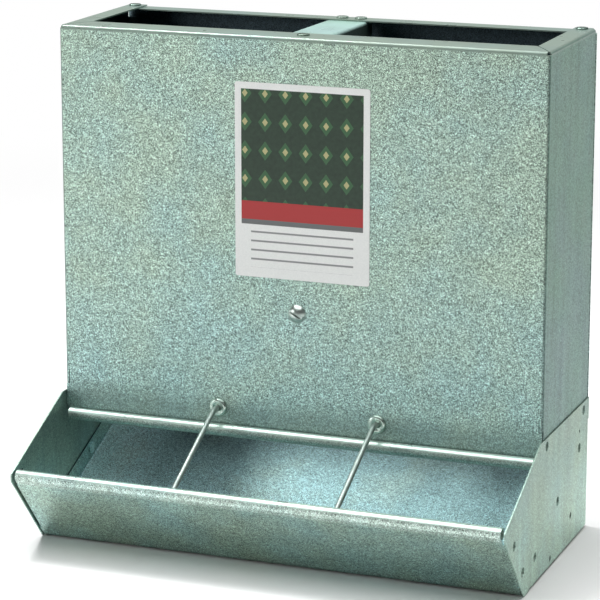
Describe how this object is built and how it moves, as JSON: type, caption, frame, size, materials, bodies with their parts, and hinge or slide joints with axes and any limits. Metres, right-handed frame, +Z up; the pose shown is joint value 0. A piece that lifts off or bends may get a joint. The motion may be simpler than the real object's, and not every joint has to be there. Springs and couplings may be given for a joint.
{
  "type": "pig feeder",
  "caption": "Galvanised sheet hopper feeder for young pigs: open-topped hopper over a sloping trough with a rolled bead, dividing rods and a sliding feed gate held by a wing nut.",
  "frame": {"origin": "floor level, in the middle of the footprint", "axes": "+Z up, -Y to the front with the trough, +Y to the wall behind, +X to the right seen from the front"},
  "size_m": [0.3066, 0.177, 0.311],
  "materials": {
    "galvanised_sheet": "hot-dip zinc with a fine spangle, dull grey-green sheen",
    "plated_hardware": "bright zinc plate",
    "printed_label": "printed film with a satin face"
  },
  "bodies": {
    "feeder": {"hopper_shell": "galvanised_sheet", "hopper_back": "galvanised_sheet", "top_brace": "galvanised_sheet", "left_end_plate": "galvanised_sheet", "right_end_plate": "galvanised_sheet", "trough_pan": "galvanised_sheet", "left_divider_rod": "plated_hardware", "right_divider_rod": "plated_hardware", "left_rod_push_nut": "plated_hardware", "right_rod_push_nut": "plated_hardware", "left_rod_tail_nut": "plated_hardware", "right_rod_tail_nut": "plated_hardware", "gate_screw": "plated_hardware", "gate_washer": "plated_hardware", "front_label": "printed_label"},
    "gate": {"feed_gate": "galvanised_sheet"},
    "nut": {"wing_nut": "plated_hardware"}
  },
  "joints": [
    {"name": "gate_slide", "type": "slide", "parent": "feeder", "child": "gate", "axis": [0, 0, -1], "range_m": [0, 0.0454]},
    {"name": "wing_nut_turn", "type": "hinge", "parent": "feeder", "child": "nut", "pos_m": [0, -0.006, 0.145], "axis": [0, 1, 0], "continuous": true}
  ]
}
